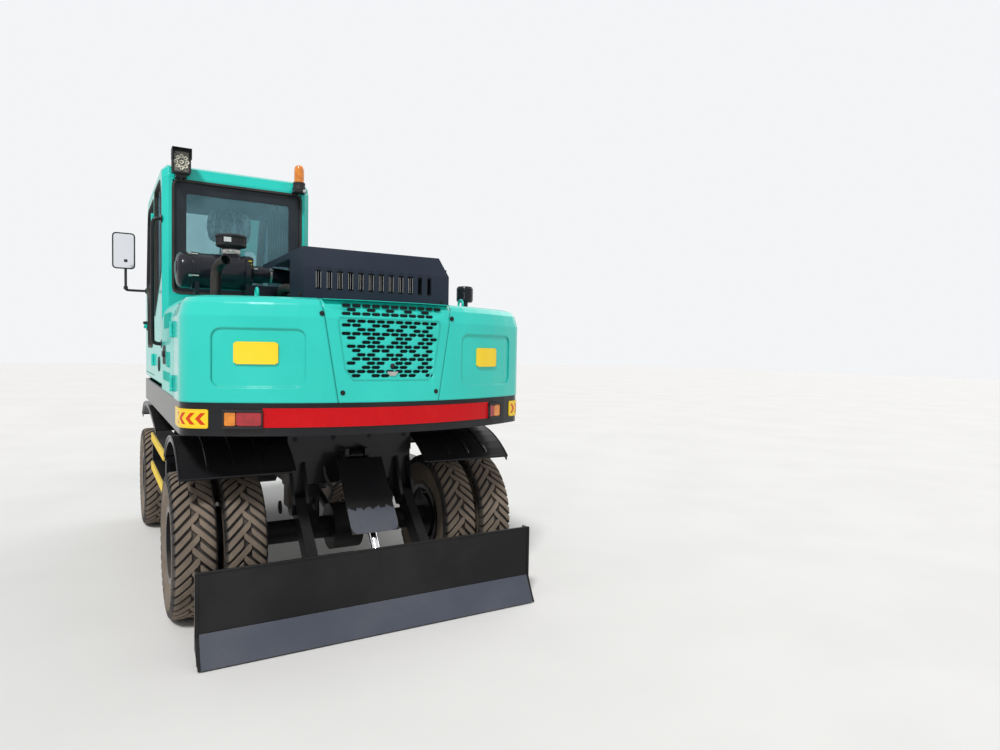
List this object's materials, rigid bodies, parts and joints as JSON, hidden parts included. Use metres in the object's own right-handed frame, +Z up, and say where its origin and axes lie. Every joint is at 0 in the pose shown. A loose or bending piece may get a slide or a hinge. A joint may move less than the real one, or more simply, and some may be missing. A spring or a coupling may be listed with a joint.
{
  "type": "wheeled excavator",
  "caption": "Wheeled excavator with twin tyres, rear dozer blade, glazed cab, louvred hood and a digging arm parked over its front axle.",
  "frame": {"origin": "on the ground under the slewing centre", "axes": "+X forward towards the boom, +Y to the left, +Z up"},
  "size_m": [6.7249, 2.3665, 3.4417],
  "materials": {
    "teal_paint": "gloss",
    "black_paint": "satin",
    "hood_paint": "satin",
    "tyre_rubber": "dusty",
    "rim_paint": "gloss",
    "tread_yellow": "satin",
    "chrome_rod": "polished",
    "cast_dark": "rough",
    "window_glass": "tinted",
    "seat_cloth": "woven",
    "cab_plastic": "fine grain",
    "exhaust_steel": "heat stained",
    "lamp_plastic": "clear"
  },
  "bodies": {
    "chassis": {"chassis_frame": "black_paint", "rear_axle": "black_paint", "front_axle": "black_paint", "drive_line": "cast_dark", "slewing_ring": "black_paint", "fenders": "black_paint", "step_frames": "black_paint", "step_treads": "tread_yellow"},
    "steer_left": {"knuckle_left": "black_paint"},
    "steer_right": {"knuckle_right": "black_paint"},
    "front_left_wheel": {"tyres_front_left": "tyre_rubber", "wheel_front_left": "rim_paint"},
    "front_right_wheel": {"tyres_front_right": "tyre_rubber", "wheel_front_right": "rim_paint"},
    "rear_left_wheel": {"tyres_rear_left": "tyre_rubber", "wheel_rear_left": "rim_paint"},
    "rear_right_wheel": {"tyres_rear_right": "tyre_rubber", "wheel_rear_right": "rim_paint"},
    "dozer_blade": {"blade": "black_paint"},
    "blade_barrel": {"blade_cylinder": "black_paint"},
    "blade_piston": {"blade_rod": "chrome_rod"},
    "upper": {"upper_frame": "black_paint", "counterweight": "teal_paint", "rear_grille_panel": "teal_paint", "engine_deck": "teal_paint", "engine_block": "cast_dark", "fuel_tank": "teal_paint", "air_cleaner": "cab_plastic", "exhaust_pipe": "exhaust_steel", "cab_shell": "teal_paint", "cab_glass": "window_glass", "seat": "seat_cloth", "controls": "cab_plastic", "lamps": "lamp_plastic", "side_mirror": "cab_plastic", "lifting_eyes": "teal_paint"},
    "hood": {"engine_hood": "hood_paint"},
    "left_side_door": {"side_door_left": "teal_paint"},
    "right_side_door": {"side_door_right": "teal_paint"},
    "door": {"cab_door": "teal_paint", "cab_door_glass": "window_glass"},
    "boom_arm": {"boom": "teal_paint"},
    "boom_barrel": {"boom_cylinder": "black_paint"},
    "boom_piston": {"boom_rod": "chrome_rod"},
    "stick": {"arm": "teal_paint"},
    "stick_barrel": {"arm_cylinder": "black_paint"},
    "stick_piston": {"arm_rod": "chrome_rod"},
    "digging_bucket": {"bucket": "black_paint"},
    "bucket_barrel": {"bucket_cylinder": "black_paint"},
    "bucket_piston": {"bucket_rod": "chrome_rod"},
    "rocker": {"bucket_rocker": "black_paint"},
    "link": {"bucket_link": "black_paint"}
  },
  "joints": [
    {"name": "steering", "type": "hinge", "parent": "chassis", "child": "steer_left", "pos_m": [1.464, 0.492, 0.43], "axis": [0, 0, 1], "range_deg": [-30, 30]},
    {"name": "steering_right", "type": "hinge", "parent": "chassis", "child": "steer_right", "pos_m": [1.464, -0.492, 0.43], "axis": [0, 0, 1], "range_deg": [-31, 31]},
    {"name": "front_left_wheel_spin", "type": "hinge", "parent": "steer_left", "child": "front_left_wheel", "pos_m": [1.464, 0.816, 0.43], "axis": [0, 1, 0], "continuous": true},
    {"name": "front_right_wheel_spin", "type": "hinge", "parent": "steer_right", "child": "front_right_wheel", "pos_m": [1.464, -0.816, 0.43], "axis": [0, 1, 0], "continuous": true},
    {"name": "rear_left_wheel_spin", "type": "hinge", "parent": "chassis", "child": "rear_left_wheel", "pos_m": [-0.98, 0.816, 0.43], "axis": [0, 1, 0], "continuous": true},
    {"name": "rear_right_wheel_spin", "type": "hinge", "parent": "chassis", "child": "rear_right_wheel", "pos_m": [-0.98, -0.816, 0.43], "axis": [0, 1, 0], "continuous": true},
    {"name": "blade_lift", "type": "hinge", "parent": "chassis", "child": "dozer_blade", "pos_m": [-1.2, 0, 0.64], "axis": [0, 1, 0], "range_deg": [-15, 30]},
    {"name": "blade_barrel_tilt", "type": "hinge", "parent": "chassis", "child": "blade_barrel", "pos_m": [-1.215, 0, 0.93], "axis": [0, 1, 0], "range_deg": [-11.35, 22.4]},
    {"name": "blade_rod_travel", "type": "slide", "parent": "blade_barrel", "child": "blade_piston", "axis": [-0.6196, 0, -0.7849], "range_m": [-0.115, 0.0585]},
    {"name": "slew", "type": "hinge", "parent": "chassis", "child": "upper", "pos_m": [0, 0, 1.076], "axis": [0, 0, 1], "continuous": true},
    {"name": "boom_lift", "type": "hinge", "parent": "upper", "child": "boom_arm", "pos_m": [1, -0.24, 1.5], "axis": [0, -1, 0], "range_deg": [-55, 38]},
    {"name": "boom_barrel_tilt", "type": "hinge", "parent": "upper", "child": "boom_barrel", "pos_m": [1.34, -0.24, 1.215], "axis": [0, -1, 0], "range_deg": [-60.17, 41.66]},
    {"name": "boom_rod_travel", "type": "slide", "parent": "boom_barrel", "child": "boom_piston", "axis": [0.689, 0, 0.7248], "range_m": [-0.3715, 0.2573]},
    {"name": "arm_swing", "type": "hinge", "parent": "boom_arm", "child": "stick", "pos_m": [4.45, -0.24, 3], "axis": [0, 1, 0], "range_deg": [-50, 50]},
    {"name": "arm_barrel_tilt", "type": "hinge", "parent": "boom_arm", "child": "stick_barrel", "pos_m": [2.9, -0.24, 3.19], "axis": [0, 1, 0], "range_deg": [-0.81, 0.81]},
    {"name": "arm_rod_travel", "type": "slide", "parent": "stick_barrel", "child": "stick_piston", "axis": [0.991, 0, 0.1339], "range_m": [-0.3117, 0.3117]},
    {"name": "bucket_curl", "type": "hinge", "parent": "stick", "child": "digging_bucket", "pos_m": [4.48, -0.24, 1.34], "axis": [0, -1, 0], "range_deg": [-90, 55]},
    {"name": "bucket_barrel_tilt", "type": "hinge", "parent": "stick", "child": "bucket_barrel", "pos_m": [4.83, -0.24, 2.79], "axis": [0, 1, 0], "range_deg": [-2.22, 3.44]},
    {"name": "bucket_rod_travel", "type": "slide", "parent": "bucket_barrel", "child": "bucket_piston", "axis": [0, 0, -1], "range_m": [-0.2267, 0.3698]},
    {"name": "rocker_turn", "type": "hinge", "parent": "stick", "child": "rocker", "pos_m": [4.5, -0.24, 1.64], "axis": [0, 1, 0], "range_deg": [-46.69, 76.21]},
    {"name": "link_turn", "type": "hinge", "parent": "rocker", "child": "link", "pos_m": [4.83, -0.24, 1.66], "axis": [0, 1, 0], "range_deg": [-61.71, 37.83]},
    {"name": "cab_door_swing", "type": "hinge", "parent": "upper", "child": "door", "pos_m": [0.352, 1.052, 2], "axis": [0, 0, 1], "range_deg": [0, 105]},
    {"name": "left_side_door_swing", "type": "hinge", "parent": "upper", "child": "left_side_door", "pos_m": [-1.202, 1.056, 1.6], "axis": [0, 0, 1], "range_deg": [0, 80]},
    {"name": "right_side_door_swing", "type": "hinge", "parent": "upper", "child": "right_side_door", "pos_m": [-1.202, -1.056, 1.6], "axis": [0, 0, -1], "range_deg": [0, 80]},
    {"name": "hood_swing", "type": "hinge", "parent": "upper", "child": "hood", "pos_m": [-1, -0.488, 1.892], "axis": [1, 0, 0], "range_deg": [0, 65]}
  ],
  "couplings": [
    {"joint": "steering_right", "follows": "steering", "ratio": 1},
    {"joint": "blade_barrel_tilt", "follows": "blade_lift", "ratio": 0.7153},
    {"joint": "blade_rod_travel", "follows": "blade_lift", "m_per_rad": -0.2096},
    {"joint": "boom_barrel_tilt", "follows": "boom_lift", "ratio": 1.0568},
    {"joint": "boom_rod_travel", "follows": "boom_lift", "m_per_rad": 0.3737},
    {"joint": "arm_barrel_tilt", "follows": "arm_swing", "ratio": -0.01},
    {"joint": "arm_rod_travel", "follows": "arm_swing", "m_per_rad": 0.3446},
    {"joint": "bucket_barrel_tilt", "follows": "bucket_curl", "ratio": -0.0339},
    {"joint": "bucket_rod_travel", "follows": "bucket_curl", "m_per_rad": -0.2273},
    {"joint": "rocker_turn", "follows": "bucket_curl", "ratio": -0.8189},
    {"joint": "link_turn", "follows": "bucket_curl", "ratio": 0.6625}
  ]
}
